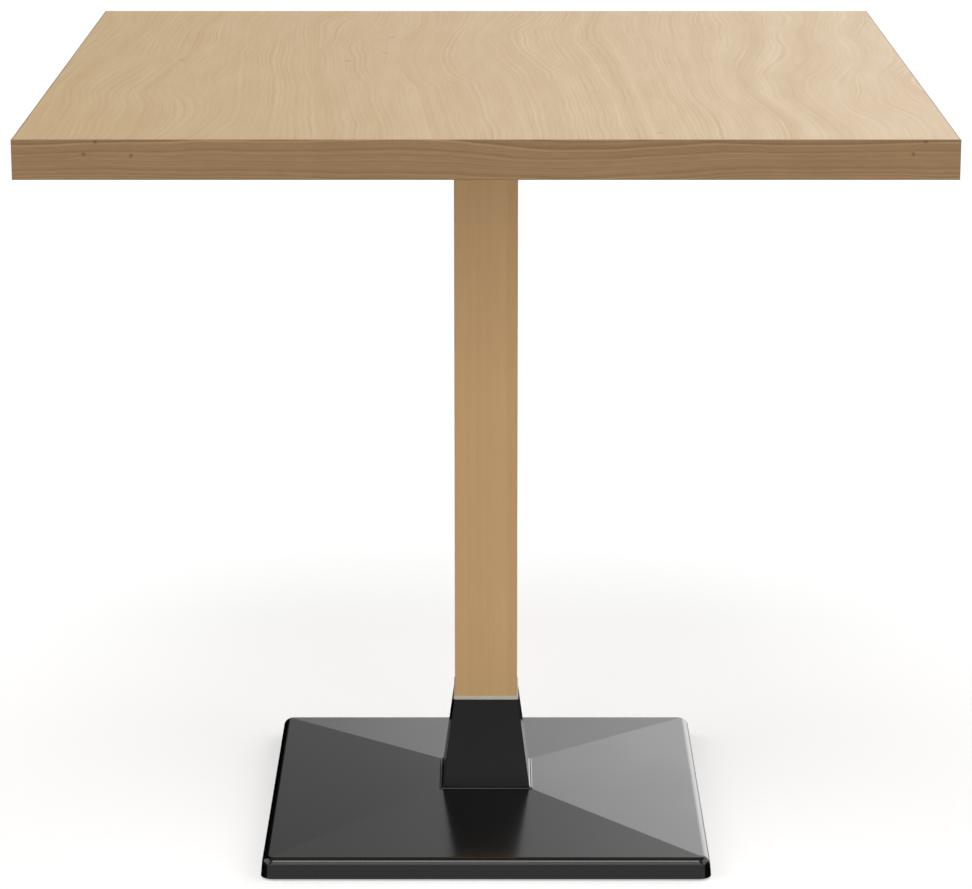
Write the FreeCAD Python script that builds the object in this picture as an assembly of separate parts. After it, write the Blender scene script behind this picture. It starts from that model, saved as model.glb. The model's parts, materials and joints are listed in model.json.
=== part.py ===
import FreeCAD, Part

import math
import os

# Square bistro table: a veneered board on a wooden post, clamped by one tie rod to a cast-iron pyramid
# base that stands on four levelling glides.
#
# Frame: millimetres, origin on the floor at the middle of the footprint, +Z up, front edge towards -Y.

# ---- Driving dimensions ------------------------------------------------------------------------------

TOP_SIDE = 800.0
TOP_THICKNESS = 34.4
VENEER = 0.6
EDGE_BAND = 1.3
EDGE_BAND_ROUND = 0.7

RIM_GAP = 2.0  # floor to the base's lower edge, set by the glides
RIM_TO_TOP = 735.0  # base's lower edge to the top's upper face

BASE_SIDE = 424.5
BASE_DRAFT = math.radians(5.0)
BASE_CORNER = 12.0
BASE_EDGE_ROUND = 7.0
BASE_SHELL = 6.0
BASE_RIM_WIDTH = 8.5
SEAT_HALF = 44.6
SEAT_RISE = 30.0  # base's lower edge to the flat seat under the boot
FACET_SLOPE = math.radians(3.85)
RIB_WIDTH = 6.0
RIB_RISE = 8.0
BOSS_HALF = 48.0
BOSS_RISE = 14.0
BOSS_CORNER = 8.0

BOOT_HEIGHT = 87.6
BOOT_TOP_HALF = 31.2
BOOT_BOTTOM_HALF = 42.6
BOOT_FLOOR = 10.0
BOOT_HIP_ROUND = 1.0
FOOT_LIP = 0.4
FOOT_CHAMFER = 1.2

COLLAR_HEIGHT = 3.6
COLLAR_HALF = 31.65
COLLAR_CHAMFER = 0.5

POST_HALF = 30.4
POST_EDGE_ROUND = 2.5
POST_BORE = 7.0
TENON_HALF = 25.0
TENON_CORNER = 3.5
TENON_PLAY = 0.2
TENON_END_GAP = 1.0

HUB_HALF = 38.0
HUB_CORNER = 6.0
HUB_HEIGHT = 28.0
HUB_SOCKET = 8.0
HUB_WEB = 6.0
ARM_PLATE = 6.0
ARM_ROOT_WIDTH = 36.0
ARM_TIP_WIDTH = 26.0
ARM_REACH = 185.0
ARM_RIB_WIDTH = 7.0
ARM_RIB_DEPTH = 18.0
ARM_RIB_REACH = 106.0
ARM_HOLES = (125.0, 185.0)

ROD_RADIUS = 6.0
ROD_HOLE = 6.5
ROD_END_CHAMFER = 1.0
M12_FLATS = 18.0
M12_NUT = 10.0
LOWER_WASHER = (18.5, 3.0)  # radius, thickness
UPPER_WASHER = (14.0, 2.5)
NUT_RECESS_DEPTH = 6.0
NUT_RECESS_PLAY = 2.5

M8_RADIUS = 4.0
M8_FLATS = 13.0
M8_HEAD = 5.3
M8_LENGTH = 30.0
M8_HOLE = 4.5
M8_WASHER = (6.6, 2.0)
BOOT_SCREW_OFFSET = 33.0

M6_RADIUS = 3.0
M6_HEAD = (6.0, 4.0)
M6_SOCKET_FLATS = 4.0
M6_LENGTH = 18.0
M6_HOLE = 3.3
INSERT = (5.0, 13.0)

GLIDE_OFFSET = 160.0
GLIDE_BOSS = 10.0
GLIDE_BOSS_RISE = 9.0
GLIDE_BORE_RISE = 20.0
GLIDE_PAD_RADIUS = 14.0
GLIDE_PAD_HEIGHT = 5.0
GLIDE_FLOOR = 2.0
GLIDE_LIP = 3.7
GLIDE_FLANGE = 5.0
GLIDE_NECK = 3.9
GLIDE_HEX = (5.4, 9.4)  # bottom and top of the wrench flats above the floor
GLIDE_STEM_TOP = 20.4
RUNNING_PLAY = 0.05

# ---- Derived levels, all measured up from the floor --------------------------------------------------

TOP_FACE = RIM_GAP + RIM_TO_TOP
UNDERSIDE = TOP_FACE - TOP_THICKNESS
CORE_HALF = TOP_SIDE / 2 - EDGE_BAND
SEAT = RIM_GAP + SEAT_RISE
BOOT_TOP = SEAT + BOOT_HEIGHT
POST_SHOULDER = BOOT_TOP + COLLAR_HEIGHT
POST_TOP = UNDERSIDE - HUB_HEIGHT + HUB_SOCKET
HUB_RECESS_FLOOR = POST_TOP + HUB_WEB
BOSS_UNDERSIDE = RIM_GAP + BOSS_RISE
LOWER_WASHER_SEAT = BOSS_UNDERSIDE + NUT_RECESS_DEPTH
HEX_CORNER = 2 / math.sqrt(3.0)  # across corners over across flats
OVERSHOOT = 1.0  # how far a cutting tool runs past the face it cuts

vec = FreeCAD.Vector


# ---- Shape helpers -----------------------------------------------------------------------------------


def block(x0, x1, y0, y1, z0, z1):
    return Part.makeBox(x1 - x0, y1 - y0, z1 - z0, vec(x0, y0, z0))


def post(half, z0, z1, corner=0.0):
    """A square prism on the Z axis, with its four upright edges rounded."""
    prism = block(-half, half, -half, half, z0, z1)
    if not corner:
        return prism
    upright = [e for e in prism.Edges if abs(e.tangentAt(e.FirstParameter).z) > 0.9]
    return prism.makeFillet(corner, upright)


def rod(radius, z0, z1, x=0.0, y=0.0):
    return Part.makeCylinder(radius, z1 - z0, vec(x, y, z0))


def ring(outer, inner, z0, z1, x=0.0, y=0.0):
    return rod(outer, z0, z1, x, y).cut(rod(inner, z0, z1, x, y))


def lathe(outline, x=0.0, y=0.0):
    """Turns a closed (radius, height) outline about the upright axis through x, y."""
    points = [vec(r, 0, z) for r, z in outline]
    face = Part.Face(Part.makePolygon(points + points[:1]))
    turned = face.revolve(vec(0, 0, 0), vec(0, 0, 1), 360)
    turned.translate(vec(x, y, 0))
    return turned


def hexagon(flats, z0, z1, x=0.0, y=0.0):
    radius = flats / 2 * HEX_CORNER
    corners = [
        vec(x + radius * math.cos(math.radians(a)), y + radius * math.sin(math.radians(a)), z0)
        for a in range(0, 360, 60)
    ]
    return Part.Face(Part.makePolygon(corners + corners[:1])).extrude(vec(0, 0, z1 - z0))


def eased_hexagon(flats, z0, z1, x=0.0, y=0.0):
    """A hexagon whose six corners are turned off at both ends, as on a machined nut."""
    corner = flats / 2 * HEX_CORNER
    ease = (corner - flats / 2) * 0.6
    turned = lathe(
        [(0, z0), (flats / 2, z0), (corner, z0 + ease), (corner, z1 - ease), (flats / 2, z1), (0, z1)],
        x,
        y,
    )
    return hexagon(flats, z0, z1, x, y).common(turned)


def frustum(half0, z0, half1, z1):
    """A square frustum on the Z axis, with flat faces; z1 is above z0."""
    low, high = [
        [vec(-half, -half, z), vec(half, -half, z), vec(half, half, z), vec(-half, half, z)]
        for half, z in ((half0, z0), (half1, z1))
    ]
    outlines = [low[::-1], high]
    for k in range(4):
        following = (k + 1) % 4
        outlines.append([low[k], low[following], high[following], high[k]])
    faces = [Part.Face(Part.makePolygon(points + points[:1])) for points in outlines]
    return Part.makeSolid(Part.makeShell(faces))


def around(shape, angle):
    turned = shape.copy()
    turned.rotate(vec(0, 0, 0), vec(0, 0, 1), angle)
    return turned


def four_corners(offset):
    """The four corner positions in order: front left, front right, rear right, rear left."""
    return [(-offset, -offset), (offset, -offset), (offset, offset), (-offset, offset)]


def fused(shapes):
    whole = shapes[0]
    for shape in shapes[1:]:
        whole = whole.fuse(shape)
    return whole.removeSplitter()


def node(name, shape):
    """Writes one node, after checking that it is made of valid closed solids."""
    solids = shape.Solids
    if not solids or not shape.isValid() or any(s.Volume <= 0 for s in solids):
        raise ValueError(f"{name} isn't a valid solid")
    kept = solids[0] if len(solids) == 1 else Part.makeCompound(solids)
    kept.exportStep(f"parts/{name}.step")
    print(f"{name}: {len(solids)} solid(s), {sum(s.Volume for s in solids) / 1000:.1f} cm3")


# ---- Table top ---------------------------------------------------------------------------------------


def arm_hole_positions():
    """The eight fixing points under the top: two along each diagonal arm."""
    places = []
    for quarter in range(4):
        angle = math.radians(45 + 90 * quarter)
        places += [(r * math.cos(angle), r * math.sin(angle)) for r in ARM_HOLES]
    return places


def tabletop_core():
    core = post(CORE_HALF, UNDERSIDE + VENEER, TOP_FACE - VENEER)
    radius, length = INSERT
    for x, y in arm_hole_positions():
        core = core.cut(rod(radius, UNDERSIDE, UNDERSIDE + length, x, y))
    return core


def face_veneer():
    return post(CORE_HALF, TOP_FACE - VENEER, TOP_FACE)


def backing_veneer():
    sheet = post(CORE_HALF, UNDERSIDE, UNDERSIDE + VENEER)
    for x, y in arm_hole_positions():
        sheet = sheet.cut(rod(INSERT[0], UNDERSIDE - OVERSHOOT, UNDERSIDE + OVERSHOOT, x, y))
    return sheet


def edge_band(length):
    """The strip on the front edge: its two long outer arrises are rounded."""
    outer = -TOP_SIDE / 2
    strip = block(-length / 2, length / 2, outer, outer + EDGE_BAND, UNDERSIDE, TOP_FACE)
    arrises = [
        e
        for e in strip.Edges
        if abs(e.CenterOfMass.y - outer) < 1e-6 and abs(e.tangentAt(e.FirstParameter).x) > 0.9
    ]
    return strip.makeFillet(EDGE_BAND_ROUND, arrises)


def threaded_inserts():
    radius, length = INSERT
    return Part.makeCompound(
        [ring(radius, M6_RADIUS, UNDERSIDE, UNDERSIDE + length, x, y) for x, y in arm_hole_positions()]
    )


# ---- Spider under the top ----------------------------------------------------------------------------


def spider_arm():
    """One arm along +X: a tapered plate with a round tip, and a stiffening rib that runs out below it."""
    low = UNDERSIDE - ARM_PLATE
    outline = [
        vec(0, -ARM_ROOT_WIDTH / 2, low),
        vec(ARM_REACH, -ARM_TIP_WIDTH / 2, low),
        vec(ARM_REACH, ARM_TIP_WIDTH / 2, low),
        vec(0, ARM_ROOT_WIDTH / 2, low),
    ]
    plate = Part.Face(Part.makePolygon(outline + outline[:1])).extrude(vec(0, 0, ARM_PLATE))
    tip = rod(ARM_TIP_WIDTH / 2, low, UNDERSIDE, ARM_REACH)
    side = -ARM_RIB_WIDTH / 2
    rib_outline = [
        vec(0, side, low),
        vec(0, side, low - ARM_RIB_DEPTH),
        vec(HUB_HALF, side, low - ARM_RIB_DEPTH),
        vec(ARM_RIB_REACH, side, low),
    ]
    rib_face = Part.Face(Part.makePolygon(rib_outline + rib_outline[:1]))
    rib = rib_face.extrude(vec(0, ARM_RIB_WIDTH, 0))
    return fused([plate, tip, rib])


def top_spider():
    hub_low = UNDERSIDE - HUB_HEIGHT
    hub = post(HUB_HALF, hub_low, UNDERSIDE, HUB_CORNER)
    arm = spider_arm()
    body = fused([hub] + [around(arm, 45 + 90 * k) for k in range(4)])
    socket_half = POST_HALF + TENON_PLAY
    body = body.cut(post(socket_half, hub_low - OVERSHOOT, POST_TOP, POST_EDGE_ROUND))
    body = body.cut(rod(ROD_HOLE, hub_low, UNDERSIDE))
    recess = UPPER_WASHER[0] + OVERSHOOT
    body = body.cut(rod(recess, HUB_RECESS_FLOOR, UNDERSIDE + OVERSHOOT))
    for x, y in arm_hole_positions():
        body = body.cut(rod(M6_HOLE, hub_low, UNDERSIDE + OVERSHOOT, x, y))
    return body


def spider_screws():
    """Button-head socket screws, up through the arms into the inserts."""
    head_radius, head_height = M6_HEAD
    seat = UNDERSIDE - ARM_PLATE
    screws = []
    for x, y in arm_hole_positions():
        outline = [
            (0, seat - head_height),
            (head_radius * 0.55, seat - head_height),
            (head_radius * 0.9, seat - head_height * 0.55),
            (head_radius, seat - head_height * 0.15),
            (head_radius, seat),
            (M6_RADIUS, seat),
            (M6_RADIUS, seat + M6_LENGTH - 1.0),
            (M6_RADIUS - 1.0, seat + M6_LENGTH),
            (0, seat + M6_LENGTH),
        ]
        key = hexagon(M6_SOCKET_FLATS, seat - head_height - OVERSHOOT, seat - head_height * 0.4, x, y)
        screws.append(lathe(outline, x, y).cut(key))
    return Part.makeCompound(screws)


# ---- Post and tie rod --------------------------------------------------------------------------------


def wooden_post():
    shaft = post(POST_HALF, POST_SHOULDER, POST_TOP, POST_EDGE_ROUND)
    tenon = post(TENON_HALF, SEAT + BOOT_FLOOR + TENON_END_GAP, POST_SHOULDER, TENON_CORNER)
    return shaft.fuse(tenon).cut(rod(POST_BORE, 0, TOP_FACE))


def collar():
    """The spacer between the boot's rim and the post's shoulder, standing a little proud of both."""
    slab = post(COLLAR_HALF, BOOT_TOP, POST_SHOULDER, POST_EDGE_ROUND)
    rim = [e for e in slab.Edges if abs(e.CenterOfMass.z - POST_SHOULDER) < 1e-6]
    return slab.makeChamfer(COLLAR_CHAMFER, rim).cut(
        post(TENON_HALF + TENON_PLAY, BOOT_TOP - OVERSHOOT, POST_SHOULDER + OVERSHOOT, TENON_CORNER)
    )


def tie_rod_ends():
    """The tie rod's lower and upper ends: just past the nut below, just under the board above."""
    lower = LOWER_WASHER_SEAT - LOWER_WASHER[1] - M12_NUT - 2.0
    upper = HUB_RECESS_FLOOR + UPPER_WASHER[1] + M12_NUT + 1.0
    return lower, upper


def tie_rod():
    low, high = tie_rod_ends()
    tip = ROD_RADIUS - ROD_END_CHAMFER
    return lathe(
        [
            (0, low),
            (tip, low),
            (ROD_RADIUS, low + ROD_END_CHAMFER),
            (ROD_RADIUS, high - ROD_END_CHAMFER),
            (tip, high),
            (0, high),
        ]
    )


def rod_nut(z0):
    return eased_hexagon(M12_FLATS, z0, z0 + M12_NUT).cut(rod(ROD_RADIUS, z0, z0 + M12_NUT))


def rod_washer(size, z0):
    radius, thickness = size
    return ring(radius, ROD_HOLE, z0, z0 + thickness)


# ---- Boot ---------------------------------------------------------------------------------------------


def boot():
    """The tapered socket: a thin chamfered foot, four slanted faces, and a square pocket for the tenon."""
    taper_low = SEAT + FOOT_LIP + FOOT_CHAMFER
    body = frustum(BOOT_BOTTOM_HALF, taper_low, BOOT_TOP_HALF, BOOT_TOP)
    hips = [e for e in body.Edges if abs(e.tangentAt(e.FirstParameter).z) > 0.5]
    body = body.makeFillet(BOOT_HIP_ROUND, hips)
    foot = frustum(SEAT_HALF, SEAT + FOOT_LIP, BOOT_BOTTOM_HALF, taper_low)
    lip = post(SEAT_HALF, SEAT, SEAT + FOOT_LIP)
    whole = fused([lip, foot, body])
    pocket_half = TENON_HALF + TENON_PLAY
    whole = whole.cut(post(pocket_half, SEAT + BOOT_FLOOR, BOOT_TOP + OVERSHOOT, TENON_CORNER))
    whole = whole.cut(rod(ROD_HOLE, SEAT - OVERSHOOT, BOOT_TOP))
    tapped_top = BOSS_UNDERSIDE - M8_WASHER[1] + M8_LENGTH + 3.0
    for x, y in four_corners(BOOT_SCREW_OFFSET):
        whole = whole.cut(rod(M8_RADIUS, SEAT - OVERSHOOT, tapped_top, x, y))
    return whole


def boot_screws():
    seat = BOSS_UNDERSIDE - M8_WASHER[1]
    screws = []
    for x, y in four_corners(BOOT_SCREW_OFFSET):
        head = eased_hexagon(M8_FLATS, seat - M8_HEAD, seat, x, y)
        screws.append(head.fuse(rod(M8_RADIUS, seat, seat + M8_LENGTH, x, y)).removeSplitter())
    return Part.makeCompound(screws)


def boot_washers():
    radius, thickness = M8_WASHER
    seat = BOSS_UNDERSIDE - thickness
    return Part.makeCompound(
        [ring(radius, M8_RADIUS, seat, seat + thickness, x, y) for x, y in four_corners(BOOT_SCREW_OFFSET)]
    )


# ---- Base casting -------------------------------------------------------------------------------------


def facet_height(half, drop=0.0):
    """Height of the sloping facets at a distance from the centre plane, lowered by drop."""
    return SEAT - (half - SEAT_HALF) * math.tan(FACET_SLOPE) - drop


def edge_section(half, draft, corner, edge_round, drop):
    """The block's rim in section, from the corner arc's centre line out to the wall, in the XZ plane."""
    centre_line = half - corner
    # The edge arc's centre lies edge_round inside both the drafted wall and the sloping facet.
    slope = math.tan(FACET_SLOPE)
    facet_reach = facet_height(0.0, drop) - edge_round / math.cos(FACET_SLOPE)
    wall_reach = half * math.cos(draft) - edge_round + RIM_GAP * math.sin(draft)
    arc_x = (wall_reach - facet_reach * math.sin(draft)) / (math.cos(draft) - slope * math.sin(draft))
    arc_z = facet_reach - slope * arc_x
    angles = (draft, (draft + math.pi / 2 - FACET_SLOPE) / 2, math.pi / 2 - FACET_SLOPE)
    wall_top, arc_middle, facet_edge = [
        vec(arc_x + edge_round * math.cos(a), 0, arc_z + edge_round * math.sin(a)) for a in angles
    ]
    inner_low = vec(centre_line, 0, RIM_GAP)
    outer_low = vec(half, 0, RIM_GAP)
    inner_high = vec(centre_line, 0, facet_height(centre_line, drop))
    edges = [
        Part.makeLine(inner_low, outer_low),
        Part.makeLine(outer_low, wall_top),
        Part.Arc(wall_top, arc_middle, facet_edge).toShape(),
        Part.makeLine(facet_edge, inner_high),
        Part.makeLine(inner_high, inner_low),
    ]
    return Part.Face(Part.Wire(edges))


def pyramid_block(half, draft, corner, edge_round, drop=0.0):
    """A low pyramid on a drafted rim, with rounded corners and a rounded rim, flat at the seat."""
    centre_line = half - corner
    shoulder = facet_height(centre_line, drop)
    parts = [
        post(centre_line, RIM_GAP, shoulder),
        frustum(centre_line, shoulder, SEAT_HALF, facet_height(SEAT_HALF, drop)),
    ]
    section = edge_section(half, draft, corner, edge_round, drop)
    straight = section.copy()
    straight.translate(vec(0, -centre_line, 0))
    side = straight.extrude(vec(0, 2 * centre_line, 0))
    turned = section.revolve(vec(centre_line, 0, 0), vec(0, 0, 1), 90)
    turned.translate(vec(0, centre_line, 0))
    for quarter in range(4):
        parts.append(around(side, 90 * quarter))
        parts.append(around(turned, 90 * quarter))
    return fused(parts)


def base_casting():
    outer = pyramid_block(BASE_SIDE / 2, BASE_DRAFT, BASE_CORNER, BASE_EDGE_ROUND)
    inner_half = BASE_SIDE / 2 - BASE_RIM_WIDTH
    cavity = pyramid_block(inner_half, 0.0, BASE_CORNER / 2, BASE_EDGE_ROUND / 2, BASE_SHELL)
    shell = outer.cut(cavity)

    reach = GLIDE_OFFSET * math.sqrt(2.0)
    bar = block(-reach, reach, -RIB_WIDTH / 2, RIB_WIDTH / 2, RIM_GAP + RIB_RISE, SEAT)
    inside = [post(BOSS_HALF, BOSS_UNDERSIDE, SEAT, BOSS_CORNER), around(bar, 45), around(bar, -45)]
    glide_boss_low = RIM_GAP + GLIDE_BOSS_RISE
    for x, y in four_corners(GLIDE_OFFSET):
        inside.append(rod(GLIDE_BOSS, glide_boss_low, SEAT, x, y))
    casting = fused([shell, fused(inside).common(outer)])

    # The ribs stop at the bosses, so that the screw heads and the glides' flats have room below them.
    casting = casting.cut(post(BOSS_HALF, 0, BOSS_UNDERSIDE))
    casting = casting.cut(rod(ROD_HOLE, 0, SEAT + OVERSHOOT))
    casting = casting.cut(rod(LOWER_WASHER[0] + NUT_RECESS_PLAY, 0, LOWER_WASHER_SEAT))
    for x, y in four_corners(BOOT_SCREW_OFFSET):
        casting = casting.cut(rod(M8_HOLE, 0, SEAT + OVERSHOOT, x, y))
    for x, y in four_corners(GLIDE_OFFSET):
        casting = casting.cut(rod(GLIDE_BOSS, 0, glide_boss_low, x, y))
        casting = casting.cut(rod(M8_RADIUS, 0, RIM_GAP + GLIDE_BORE_RISE, x, y))
    return casting


# ---- Levelling glides ---------------------------------------------------------------------------------


def glide_pad(x, y):
    """A nylon foot with a blind socket; its lip snaps over the flange at the stem's lower end."""
    socket = GLIDE_FLANGE + RUNNING_PLAY
    outline = [
        (0, 0),
        (GLIDE_PAD_RADIUS - 1.0, 0),
        (GLIDE_PAD_RADIUS, 1.0),
        (GLIDE_PAD_RADIUS, 3.2),
        (GLIDE_PAD_RADIUS - 1.0, 4.2),
        (GLIDE_FLANGE + 3.0, GLIDE_PAD_HEIGHT),
        (GLIDE_NECK + RUNNING_PLAY, GLIDE_PAD_HEIGHT),
        (GLIDE_NECK + RUNNING_PLAY, GLIDE_LIP),
        (socket, GLIDE_LIP),
        (socket, GLIDE_FLOOR),
        (0, GLIDE_FLOOR),
    ]
    return lathe(outline, x, y)


def glide_stem(x, y):
    """A steel stem: flange and neck in the pad, wrench flats above it, M8 thread on top."""
    hex_low, hex_high = GLIDE_HEX
    thread = M8_RADIUS - RUNNING_PLAY
    flange_low = GLIDE_FLOOR + RUNNING_PLAY
    flange_high = GLIDE_LIP - RUNNING_PLAY
    shank = lathe(
        [
            (0, flange_low),
            (GLIDE_FLANGE, flange_low),
            (GLIDE_FLANGE, flange_high),
            (GLIDE_NECK, flange_high),
            (GLIDE_NECK, hex_low),
            (thread, hex_high),
            (thread, GLIDE_STEM_TOP - 1.0),
            (thread - 1.0, GLIDE_STEM_TOP),
            (0, GLIDE_STEM_TOP),
        ],
        x,
        y,
    )
    return fused([shank, eased_hexagon(M8_FLATS, hex_low, hex_high, x, y)])


# ---- Export -------------------------------------------------------------------------------------------


def main():
    os.makedirs("parts", exist_ok=True)

    node("tabletop_core", tabletop_core())
    node("tabletop_face_veneer", face_veneer())
    node("tabletop_backing_veneer", backing_veneer())
    node("edge_band_front", edge_band(TOP_SIDE))
    node("edge_band_right", around(edge_band(TOP_SIDE - 2 * EDGE_BAND), 90))
    node("edge_band_rear", around(edge_band(TOP_SIDE), 180))
    node("edge_band_left", around(edge_band(TOP_SIDE - 2 * EDGE_BAND), 270))
    node("threaded_inserts", threaded_inserts())

    node("top_spider", top_spider())
    node("spider_screws", spider_screws())

    node("post", wooden_post())
    node("collar", collar())
    node("tie_rod", tie_rod())
    node("tie_rod_upper_washer", rod_washer(UPPER_WASHER, HUB_RECESS_FLOOR))
    node("tie_rod_upper_nut", rod_nut(HUB_RECESS_FLOOR + UPPER_WASHER[1]))
    node("tie_rod_lower_washer", rod_washer(LOWER_WASHER, LOWER_WASHER_SEAT - LOWER_WASHER[1]))
    node("tie_rod_lower_nut", rod_nut(LOWER_WASHER_SEAT - LOWER_WASHER[1] - M12_NUT))

    node("boot", boot())
    node("boot_screws", boot_screws())
    node("boot_washers", boot_washers())
    node("base_casting", base_casting())

    names = ("front_left", "front_right", "rear_right", "rear_left")
    for name, (x, y) in zip(names, four_corners(GLIDE_OFFSET)):
        node(f"glide_pad_{name}", glide_pad(x, y))
        node(f"glide_stem_{name}", glide_stem(x, y))


main()
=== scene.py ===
import json
import math

import bpy
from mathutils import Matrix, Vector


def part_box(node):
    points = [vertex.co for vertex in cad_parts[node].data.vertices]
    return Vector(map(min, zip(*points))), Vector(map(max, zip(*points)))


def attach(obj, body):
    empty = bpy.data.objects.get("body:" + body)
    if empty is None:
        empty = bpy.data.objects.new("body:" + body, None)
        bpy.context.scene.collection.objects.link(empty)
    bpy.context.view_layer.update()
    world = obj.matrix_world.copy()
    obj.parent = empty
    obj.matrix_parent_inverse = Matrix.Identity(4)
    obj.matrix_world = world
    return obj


# The looks of a square bistro table: a figured veneer top, a straight-grained post and a black
# powder-coated base. Sizes are in metres, and places come from the frame.

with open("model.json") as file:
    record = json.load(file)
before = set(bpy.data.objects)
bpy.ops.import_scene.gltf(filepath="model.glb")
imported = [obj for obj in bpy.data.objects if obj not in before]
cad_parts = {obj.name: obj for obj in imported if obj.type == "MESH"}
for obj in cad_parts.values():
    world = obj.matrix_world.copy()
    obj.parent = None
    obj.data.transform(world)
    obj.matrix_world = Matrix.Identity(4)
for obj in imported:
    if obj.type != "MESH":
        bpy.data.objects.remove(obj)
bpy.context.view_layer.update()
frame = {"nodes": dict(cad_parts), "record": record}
nodes = frame["nodes"]

X, Y, Z = range(3)

# Depth of the surface relief, in metres.
FIBRE_RELIEF = 0.00003
BACKING_RELIEF = 0.00004
CHIP_RELIEF = 0.0001
PEEL_RELIEF = 0.00002
SCRATCH_RELIEF = 0.00001
SATIN_RELIEF = 0.00001
NYLON_RELIEF = 0.00002


# ---- Shader helpers ----------------------------------------------------------------------------------


def put(tree, kind, inputs=(), **settings):
    """Adds a shader node; inputs are (socket name or number, value or output socket) pairs."""
    made = tree.nodes.new("ShaderNode" + kind)
    for key, value in settings.items():
        setattr(made, key, value)
    for key, value in inputs:
        if isinstance(value, bpy.types.NodeSocket):
            tree.links.new(value, made.inputs[key])
        else:
            made.inputs[key].default_value = value
    return made


def calc(tree, operation, a, b=0.0, c=0.0):
    """One step of arithmetic on numbers that vary over the surface."""
    return put(tree, "Math", [(0, a), (1, b), (2, c)], operation=operation).outputs[0]


def centred(tree, value):
    """Noise from 0 to 1, moved to swing either side of zero."""
    return calc(tree, "SUBTRACT", value, 0.5)


def place(tree, scale=(1, 1, 1), shift=(0, 0, 0)):
    """The point on the object in its own metres, stretched by scale and moved by shift."""
    coords = put(tree, "TexCoord").outputs["Object"]
    return put(tree, "Mapping", [("Vector", coords), ("Location", shift), ("Scale", scale)]).outputs[0]


def axes(tree):
    """The point on the object as three numbers, in its own metres."""
    return put(tree, "SeparateXYZ", [("Vector", place(tree))]).outputs


def noise(tree, where, scale=1.0, detail=2.0):
    """Smooth noise from 0 to 1, centred on 0.5."""
    inputs = [("Vector", where), ("Scale", scale), ("Detail", detail)]
    return put(tree, "TexNoise", inputs).outputs[0]


def lines(tree, across, scale, detail, roughness=0.6):
    """Noise that varies along one number only, which draws the contours of that number."""
    inputs = [("W", across), ("Scale", scale), ("Detail", detail), ("Roughness", roughness)]
    return put(tree, "TexNoise", inputs, noise_dimensions="1D").outputs[0]


def ramp(tree, amount, *stops):
    """A colour ramp of two stops, each as (position, colour or grey level)."""
    made = put(tree, "ValToRGB", [("Fac", amount)])
    points = made.color_ramp.elements
    for point, (position, colour) in zip(points, stops):
        point.position = position
        point.color = (colour,) * 3 + (1,) if isinstance(colour, (int, float)) else (*colour, 1)
    return made.outputs["Color"]


def blend(tree, amount, a, b):
    """Mixes two colours, by amount."""
    return put(tree, "Mix", [(0, amount), (6, a), (7, b)], data_type="RGBA").outputs[2]


def bump(tree, height, distance):
    """Surface relief of distance metres for a height of 1."""
    return put(tree, "Bump", [("Height", height), ("Distance", distance)]).outputs[0]


def rgb(red, green, blue):
    """An sRGB colour, 0 to 255, as the linear colour with alpha that a socket takes."""

    def linear(value):
        value = value / 255
        return value / 12.92 if value < 0.04045 else ((value + 0.055) / 1.055) ** 2.4

    return (linear(red), linear(green), linear(blue), 1)


def material(name, surface, **uniform):
    """A material: surface(tree) gives what varies over it, and uniform what is the same all over."""
    made = bpy.data.materials.new(name)
    made.use_nodes = True
    tree = made.node_tree
    tree.nodes.clear()
    sockets = [(key.replace("_", " "), value) for key, value in uniform.items()]
    shader = put(tree, "BsdfPrincipled", sockets)
    for key, value in surface(tree).items():
        tree.links.new(value, shader.inputs[key])
    put(tree, "OutputMaterial", [("Surface", shader.outputs[0])])
    return made


# ---- Wood --------------------------------------------------------------------------------------------

# Dark flecks in the top's veneer, as X and Y, and pin knots in the edge band, as X and Z.
FLECKS = [(-0.133, 0.046), (-0.099, 0.100), (0.148, -0.366), (-0.292, 0.052), (-0.093, 0.205)]
FLECK_RADIUS = 0.0045
FLECK_COLOUR = rgb(112, 80, 54)
PIN_KNOTS = [(-0.329, 0.735), (-0.339, 0.7245), (-0.299, 0.7235), (0.370, 0.735), (0.360, 0.7245)]
PIN_KNOT_RADIUS = 0.0022
PIN_KNOT_COLOUR = rgb(66, 44, 28)

# Roughly how many growth lines there are in a metre of each veneer.
FACE_LINES = 270.0
BAND_LINES = 420.0
BAND_DARK_LINES = 190.0
POST_LINES = 480.0
BACKING_LINES = 150.0


def wood_colour(tree, grain, pale, dark, tone, tone_shift):
    """Wood between pale and dark by the grain, with broad patches of another tone."""
    figure = blend(tree, grain, pale, dark)
    patches = calc(tree, "MULTIPLY", tone, tone_shift)
    return blend(tree, patches, figure, dark)


def spots(tree, places, up, radius):
    """1 at each (place along X, place along the other axis), fading to 0 at about the radius."""
    at = axes(tree)
    wobble = calc(tree, "MULTIPLY", centred(tree, noise(tree, place(tree), 260.0)), radius)
    total = 0.0
    for x, other in places:
        aside = calc(tree, "SUBTRACT", at[X], x)
        off = calc(tree, "SUBTRACT", at[up], other)
        off_squared = calc(tree, "MULTIPLY", off, off)
        distance = calc(tree, "SQRT", calc(tree, "MULTIPLY_ADD", aside, aside, off_squared))
        distance = calc(tree, "ADD", distance, wobble)
        spot = put(tree, "MapRange", [(0, distance), (1, radius), (2, radius * 0.3)]).outputs[0]
        total = calc(tree, "MAXIMUM", spot, total)
    return total


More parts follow.
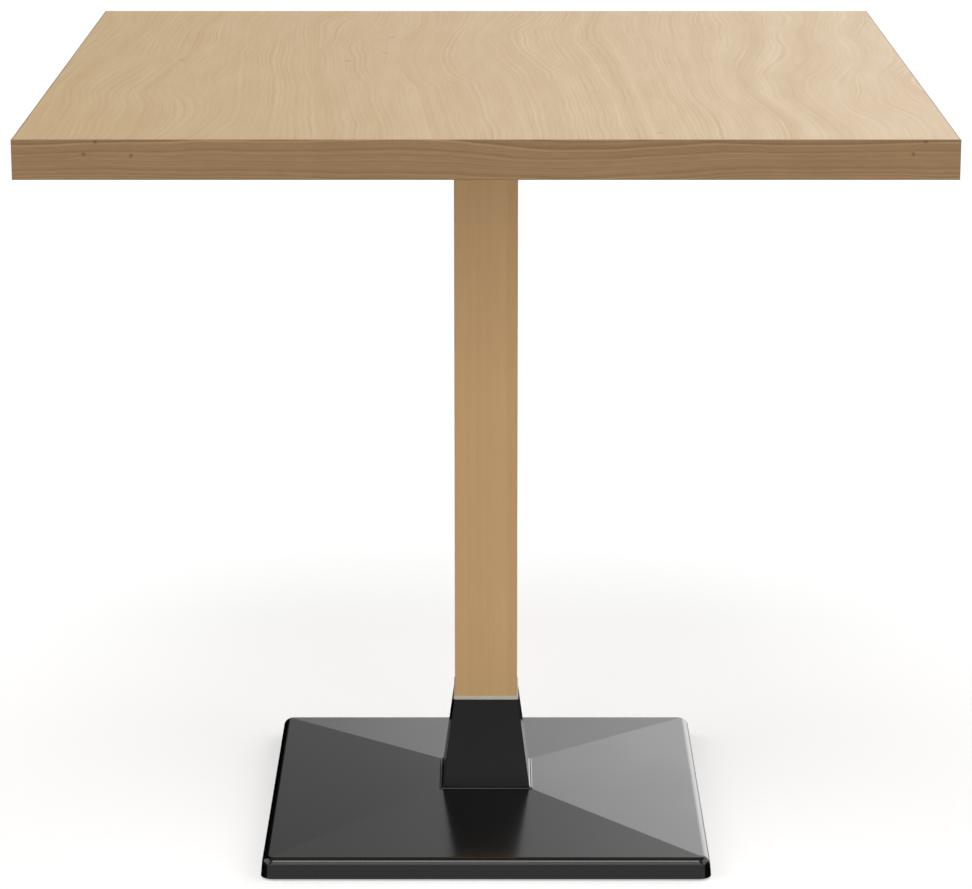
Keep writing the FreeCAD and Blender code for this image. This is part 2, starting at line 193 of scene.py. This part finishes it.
def figured_veneer(tree):
    """Wavy veneer: growth lines run front to back and bend gently, round a few eyes."""
    sweep = noise(tree, place(tree, (2.6, 1.1, 1)), detail=0.0)
    curl = noise(tree, place(tree, (10, 4.4, 1), (3, 7, 0)), detail=1.0)
    ripple = noise(tree, place(tree, (26, 12, 1), (9, 2, 0)), detail=1.0)
    eyes = noise(tree, place(tree, (4.5, 3, 1), (21, 5, 0)), detail=0.0)
    eye_mask = ramp(tree, eyes, (0.42, 0.3), (0.66, 1.0))
    across = calc(tree, "MULTIPLY_ADD", sweep, 0.1, axes(tree)[X])
    across = calc(tree, "MULTIPLY_ADD", calc(tree, "MULTIPLY", curl, eye_mask), 0.055, across)
    across = calc(tree, "MULTIPLY_ADD", ripple, 0.005, across)

    faint = noise(tree, place(tree, (40, 7, 1), (5, 1, 0)), detail=1.0)
    fade = ramp(tree, faint, (0.35, 0.2), (0.65, 1.0))
    growth = calc(tree, "MULTIPLY", centred(tree, lines(tree, across, FACE_LINES, 2.0)), fade)
    broad = centred(tree, lines(tree, across, 40.0, 1.0))
    fibre = noise(tree, place(tree, (900, 22, 1)), detail=1.0)
    patches = centred(tree, noise(tree, place(tree, (55, 9, 1), (8, 3, 0)), detail=2.0))
    grain = calc(tree, "MULTIPLY_ADD", growth, 1.1, calc(tree, "MULTIPLY_ADD", broad, 0.5, 0.5))
    grain = calc(tree, "MULTIPLY_ADD", patches, 0.5, grain)
    grain = calc(tree, "MULTIPLY_ADD", centred(tree, fibre), 0.35, grain)

    tone = noise(tree, place(tree, (3.2, 1.8, 1), (2, 12, 0)), detail=2.0)
    colour = wood_colour(tree, grain, rgb(206, 182, 142), rgb(180, 147, 102), tone, 0.35)
    flecks = spots(tree, FLECKS, Y, FLECK_RADIUS)
    colour = blend(tree, calc(tree, "MULTIPLY", flecks, 0.5), colour, FLECK_COLOUR)
    relief = calc(tree, "MULTIPLY_ADD", growth, -0.8, fibre)
    return {
        "Base Color": colour,
        "Roughness": ramp(tree, grain, (0.2, 0.42), (0.9, 0.5)),
        "Normal": bump(tree, relief, FIBRE_RELIEF),
    }


def edge_veneer(along):
    """The edge band's veneer: fine wavy lines along the strip, darker than the face, with pin knots."""

    def stretched(tree, slow, fast, shift=(0, 0, 0)):
        """The point on the strip, with slow change along it and fast change across it."""
        return place(tree, [slow if axis == along else fast for axis in (X, Y, Z)], shift)

    def surface(tree):
        arch = noise(tree, stretched(tree, 3.2, 6, (4, 8, 1)), detail=1.0)
        wander = noise(tree, stretched(tree, 16, 40), detail=1.0)
        across = calc(tree, "MULTIPLY_ADD", arch, 0.05, axes(tree)[Z])
        across = calc(tree, "MULTIPLY_ADD", wander, 0.004, across)
        fine = centred(tree, lines(tree, across, BAND_LINES, 2.0))
        bold = lines(tree, across, BAND_DARK_LINES, 1.0, 0.5)
        dark_lines = ramp(tree, bold, (0.54, 0.0), (0.70, 1.0))
        fibre = noise(tree, stretched(tree, 55, 1200), detail=2.0)
        cloud = noise(tree, stretched(tree, 12, 90, (1, 3, 0)), detail=3.0)
        grain = calc(tree, "MULTIPLY_ADD", dark_lines, 0.2, 0.4)
        grain = calc(tree, "MULTIPLY_ADD", fine, 1.5, grain)
        grain = calc(tree, "MULTIPLY_ADD", centred(tree, fibre), 0.5, grain)
        colour = wood_colour(tree, grain, rgb(156, 124, 82), rgb(101, 72, 39), cloud, 0.5)
        knots = spots(tree, PIN_KNOTS, Z, PIN_KNOT_RADIUS)
        colour = blend(tree, calc(tree, "MULTIPLY", knots, 0.6), colour, PIN_KNOT_COLOUR)
        return {
            "Base Color": colour,
            "Roughness": ramp(tree, grain, (0.2, 0.45), (0.9, 0.55)),
            "Normal": bump(tree, fibre, FIBRE_RELIEF),
        }

    return surface


def post_veneer(tree):
    """The post: fine, faint, straight grain running up it."""
    at = axes(tree)
    drift = noise(tree, place(tree, (20, 20, 1.4), (6, 1, 3)), detail=1.0)
    around = calc(tree, "ADD", at[X], at[Y])
    across = calc(tree, "MULTIPLY_ADD", drift, 0.016, around)
    fine = lines(tree, across, POST_LINES, 2.0)
    broad = lines(tree, across, 60.0, 1.0)
    fibre = noise(tree, place(tree, (1500, 1500, 30)), detail=2.0)
    grain = calc(tree, "MULTIPLY_ADD", fine, 0.3, calc(tree, "MULTIPLY", broad, 0.55))
    grain = calc(tree, "MULTIPLY_ADD", centred(tree, fibre), 0.4, grain)
    tone = noise(tree, place(tree, (30, 30, 9)), detail=2.0)
    return {
        "Base Color": wood_colour(tree, grain, rgb(188, 154, 106), rgb(161, 125, 81), tone, 0.3),
        "Roughness": ramp(tree, grain, (0.2, 0.42), (0.8, 0.5)),
        "Normal": bump(tree, fibre, FIBRE_RELIEF),
    }


def board(tree):
    """The board between the veneers: pressed chips."""
    chips = put(tree, "TexVoronoi", [("Vector", place(tree)), ("Scale", 420.0)])
    shade = put(tree, "SeparateColor", [(0, chips.outputs["Color"])]).outputs[0]
    return {
        "Base Color": ramp(tree, shade, (0.0, (0.30, 0.19, 0.10)), (1.0, (0.62, 0.46, 0.28))),
        "Roughness": ramp(tree, shade, (0.0, 0.7), (1.0, 0.85)),
        "Normal": bump(tree, shade, CHIP_RELIEF),
    }


def backing(tree):
    """The plain sealed sheet under the board: straight grain, front to back."""
    drift = noise(tree, place(tree, (3, 1, 1), (8, 4, 0)), detail=1.0)
    across = calc(tree, "MULTIPLY_ADD", drift, 0.12, axes(tree)[X])
    growth = lines(tree, across, BACKING_LINES, 3.0)
    fibre = noise(tree, place(tree, (1300, 40, 1)), detail=2.0)
    grain = calc(tree, "MULTIPLY_ADD", centred(tree, fibre), 0.4, growth)
    return {
        "Base Color": ramp(tree, grain, (0.2, (0.50, 0.36, 0.22)), (0.8, (0.36, 0.24, 0.13))),
        "Roughness": ramp(tree, grain, (0.2, 0.6), (0.8, 0.7)),
        "Normal": bump(tree, fibre, BACKING_RELIEF),
    }


# ---- Metal and plastic -------------------------------------------------------------------------------


def powder_coat(tree):
    """Semi-gloss black powder coat over iron: fine orange peel, and a slow change of gloss."""
    peel = noise(tree, place(tree), 620.0, 2.0)
    flow = noise(tree, place(tree), 9.0, 3.0)
    specks = noise(tree, place(tree), 2600.0, 1.0)
    return {
        "Base Color": ramp(tree, specks, (0.3, 0.0015), (0.75, 0.003)),
        "Roughness": ramp(tree, flow, (0.3, 0.15), (0.7, 0.19)),
        "Normal": bump(tree, peel, PEEL_RELIEF),
    }


def zinc(tree):
    """Bright zinc plating, slightly clouded."""
    cloud = noise(tree, place(tree), 260.0, 3.0)
    scratch = noise(tree, place(tree, (900, 900, 140)), detail=2.0)
    return {
        "Base Color": ramp(tree, cloud, (0.3, (0.55, 0.56, 0.58)), (0.7, (0.70, 0.70, 0.68))),
        "Roughness": ramp(tree, cloud, (0.3, 0.28), (0.7, 0.42)),
        "Normal": bump(tree, scratch, SCRATCH_RELIEF),
    }


def grey_plastic(tree):
    """Light grey moulded plastic with a fine satin texture."""
    texture = noise(tree, place(tree), 1500.0, 2.0)
    cloud = noise(tree, place(tree), 30.0, 2.0)
    return {
        "Base Color": ramp(tree, cloud, (0.3, (0.365, 0.335, 0.275)), (0.7, (0.43, 0.39, 0.325))),
        "Roughness": ramp(tree, texture, (0.3, 0.42), (0.7, 0.55)),
        "Normal": bump(tree, texture, SATIN_RELIEF),
    }


def nylon(tree):
    """Moulded black nylon, scuffed a little."""
    texture = noise(tree, place(tree), 1800.0, 2.0)
    scuffs = noise(tree, place(tree, (300, 60, 60)), detail=3.0)
    return {
        "Base Color": ramp(tree, scuffs, (0.45, 0.012), (0.8, 0.05)),
        "Roughness": ramp(tree, scuffs, (0.4, 0.45), (0.8, 0.65)),
        "Normal": bump(tree, texture, NYLON_RELIEF),
    }


# ---- Finishing the CAD nodes -------------------------------------------------------------------------

CASTING_EDGE = 0.0005
FASTENER_EDGE = 0.0003
CASTINGS = ("boot", "collar")
FASTENERS = ("tie_rod_upper_nut", "tie_rod_lower_nut", "tie_rod_upper_washer", "tie_rod_lower_washer")


def finish_nodes():
    """Gives every CAD node the material of its slot, and returns the materials by slot."""
    slots = {part["node"]: part["material_slot"] for part in frame["record"]["subparts"]}
    looks = {
        "face_veneer": material("figured_veneer", figured_veneer),
        "core_board": material("chip_board", board),
        "backing_veneer": material("backing_veneer", backing),
        "post_wood": material("post_veneer", post_veneer),
        "collar_plastic": material("collar_grey", grey_plastic),
        "black_casting": material("black_powder_coat", powder_coat),
        "zinc_plated_steel": material("zinc_plating", zinc, Metallic=1.0),
        "nylon": material("black_nylon", nylon),
    }
    band_along_x = material("edge_veneer_x", edge_veneer(X))
    band_along_y = material("edge_veneer_y", edge_veneer(Y))
    for name, obj in nodes.items():
        if slots[name] == "edge_band":
            low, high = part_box(name)
            look = band_along_x if high[X] - low[X] > high[Y] - low[Y] else band_along_y
        else:
            look = looks[slots[name]]
        obj.data.materials.clear()
        obj.data.materials.append(look)
    return looks


def ease_edges(width, names):
    """Rounds the sharp edges of CAD nodes a little, so that they catch the light."""
    for name in names:
        bevel = nodes[name].modifiers.new("eased_edges", "BEVEL")
        bevel.width = width
        bevel.segments = 3
        bevel.limit_method = "ANGLE"
        bevel.angle_limit = math.radians(35)
        bevel.harden_normals = True


# ---- Foot bead ---------------------------------------------------------------------------------------

BEAD_RADIUS = 0.0011
BEAD_STEPS = 6
BEAD_DEPTH = 0.0002  # how far the bead reaches down into the base
BEAD_OVERLAP = 0.0004  # how far it reaches into the boot's foot
FOOT_CORNER = 0.002
CORNER_STEPS = 8


def squared_path(half, corner):
    """Points round a square with rounded corners: each corner's centre, and the way out from it."""
    path = []
    middle = (half - corner) * math.sqrt(2)
    for quarter in range(4):
        turn = math.radians(90 * quarter + 45)
        for step in range(CORNER_STEPS + 1):
            angle = math.radians(90 * (quarter + step / CORNER_STEPS))
            centre = (middle * math.cos(turn), middle * math.sin(turn))
            path.append((centre, (math.cos(angle), math.sin(angle))))
    return path


def squared_ring(name, half, corner, profile):
    """A closed ring with rounded corners round the Z axis; the profile gives (outward, height)."""
    path = squared_path(half, corner)
    verts = []
    for (x, y), (out_x, out_y) in path:
        for outward, height in profile:
            reach = corner + outward
            verts.append((x + out_x * reach, y + out_y * reach, height))
    faces = []
    count = len(profile)
    for i in range(len(path)):
        ahead = (i + 1) % len(path)
        for j in range(count):
            beside = (j + 1) % count
            faces.append((i * count + j, ahead * count + j, ahead * count + beside, i * count + beside))
    mesh = bpy.data.meshes.new(name)
    mesh.from_pydata(verts, [], faces)
    mesh.validate()
    mesh.polygons.foreach_set("use_smooth", [True] * len(mesh.polygons))
    made = bpy.data.objects.new(name, mesh)
    bpy.context.collection.objects.link(made)
    return made


def foot_bead(look):
    """The rolled bead of paint and sealer where the boot's foot meets the base's seat."""
    foot_low, foot_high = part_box("boot")
    seat = foot_low[Z]
    profile = [(0.0, seat - BEAD_DEPTH)]
    for step in range(BEAD_STEPS + 1):
        angle = math.radians(90 * step / BEAD_STEPS)
        profile.append((BEAD_RADIUS * math.cos(angle), seat + BEAD_RADIUS * math.sin(angle)))
    profile.append((-BEAD_OVERLAP, seat + BEAD_RADIUS))
    profile.append((-BEAD_OVERLAP, seat - BEAD_DEPTH))
    bead = squared_ring("boot_foot_bead", foot_high[X], FOOT_CORNER, profile)
    bead.data.materials.append(look)
    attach(bead, "table")


# ---- Stage -------------------------------------------------------------------------------------------

FLOOR_HALF = 30.0
FLOOR_GLOW = 0.42  # the floor is a translucent white table, lit a little from below


def floor():
    """A plain pale floor, which glossy reflections don't see."""
    mesh = bpy.data.meshes.new("floor")
    corners = [(-1, -1), (1, -1), (1, 1), (-1, 1)]
    mesh.from_pydata([(x * FLOOR_HALF, y * FLOOR_HALF, 0) for x, y in corners], [], [(0, 1, 2, 3)])
    made = bpy.data.objects.new("floor", mesh)
    bpy.context.collection.objects.link(made)

    def pale(tree):
        cloud = noise(tree, place(tree), 0.8, 1.0)
        return {"Base Color": ramp(tree, cloud, (0.3, 0.54), (0.7, 0.56))}

    glow = {"Emission_Color": (1, 1, 1, 1), "Emission_Strength": FLOOR_GLOW}
    mesh.materials.append(material("pale_floor", pale, Roughness=0.9, **glow))
    made.visible_glossy = False


# Each soft panel of the studio: azimuth from +Y towards +X, elevation, half width, half height and
# edge softness, all in degrees, and its radiance.
PANELS = {
    "front_high": (180, 60, 24, 13, 3, 5.2),
    "front_middle": (180, 33, 24, 4.5, 2.5, 2.7),
    "front_low": (180, 16, 24, 14, 3, 1.75),
    "front_low_left": (228, 8, 24, 8, 4, 1.0),
    "front_low_right": (132, 8, 24, 8, 4, 1.0),
    "front_below": (180, -16, 60, 12, 4, 0.78),
    "back_high": (20, 33, 28, 9, 3, 0.55),
    "back_high_right": (25, 31, 22, 10, 6, 1.0),
    "back_right": (24, 17, 23, 4.5, 6, 2.33),
    "back_low_right": (24, 5, 23, 8, 6, 1.06),
    "back_left": (-3.5, 18, 5, 4, 2.5, 0.41),
    "back_low_left": (-4.5, 11, 5, 4, 2.5, 0.52),
    "far_right": (30, 3, 21, 14, 5, 1.5),
    "left": (-95, 35, 40, 25, 6, 2.0),
    "right": (95, 35, 40, 25, 6, 2.0),
}
BACKDROP = 0.97  # radiance of what the camera sees behind the table
WHITE = (1, 1, 1, 1)


def window(tree, angle, half, soft):
    """1 where an angle in radians is within half degrees of zero, fading to 0 over the soft edge."""
    inputs = [
        (0, calc(tree, "ABSOLUTE", angle)),
        (1, math.radians(half + soft)),
        (2, math.radians(half - soft)),
    ]
    return put(tree, "MapRange", inputs, interpolation_type="SMOOTHSTEP").outputs[0]


def panel(tree, direction, elevation, settings):
    """The light that one panel sends from each direction."""
    azimuth, height, half_width, half_height, soft, radiance = settings
    sine = math.sin(math.radians(azimuth))
    cosine = math.cos(math.radians(azimuth))
    ahead = calc(tree, "MULTIPLY", direction[Y], cosine)
    ahead = calc(tree, "MULTIPLY_ADD", direction[X], sine, ahead)
    aside = calc(tree, "MULTIPLY", direction[Y], -sine)
    aside = calc(tree, "MULTIPLY_ADD", direction[X], cosine, aside)
    across = window(tree, calc(tree, "ARCTAN2", aside, ahead), half_width, soft)
    above = calc(tree, "SUBTRACT", elevation, math.radians(height))
    up = window(tree, above, half_height, soft)
    return calc(tree, "MULTIPLY", calc(tree, "MULTIPLY", across, up), radiance)


def studio():
    """Soft light from panels all round, and a plain pale backdrop for the camera."""
    world = bpy.data.worlds.new("studio")
    world.use_nodes = True
    tree = world.node_tree
    tree.nodes.clear()
    generated = put(tree, "TexCoord").outputs["Generated"]
    direction = put(tree, "SeparateXYZ", [("Vector", generated)]).outputs
    elevation = calc(tree, "ARCSINE", direction[Z])
    total = 0.0
    for settings in PANELS.values():
        total = calc(tree, "ADD", panel(tree, direction, elevation, settings), total)
    light = put(tree, "Background", [("Color", WHITE), ("Strength", total)]).outputs[0]
    backdrop = put(tree, "Background", [("Color", WHITE), ("Strength", BACKDROP)]).outputs[0]
    seen = put(tree, "LightPath").outputs["Is Camera Ray"]
    mixed = put(tree, "MixShader", [(0, seen), (1, light), (2, backdrop)]).outputs[0]
    put(tree, "OutputWorld", [("Surface", mixed)])
    bpy.context.scene.world = world


# ---- Camera ------------------------------------------------------------------------------------------

CAMERA_BACK = 3.473
CAMERA_HEIGHT = 1.263
CAMERA_PITCH = math.radians(14.43)
CAMERA_LENS = 136.8  # mm
CAMERA_SENSOR = 36  # mm wide


def camera():
    """A camera straight in front of the table, looking down a little."""
    data = bpy.data.cameras.new("camera")
    data.sensor_width = CAMERA_SENSOR
    data.lens = CAMERA_LENS
    made = bpy.data.objects.new("camera", data)
    made.location = (0, -CAMERA_BACK, CAMERA_HEIGHT)
    made.rotation_euler = (math.pi / 2 - CAMERA_PITCH, 0, 0)
    bpy.context.collection.objects.link(made)
    bpy.context.scene.camera = made


# ---- Scene -------------------------------------------------------------------------------------------

camera()
looks = finish_nodes()
ease_edges(CASTING_EDGE, CASTINGS)
ease_edges(FASTENER_EDGE, FASTENERS)
foot_bead(looks["black_casting"])
floor()
studio()
bpy.context.scene.view_settings.view_transform = "Standard"
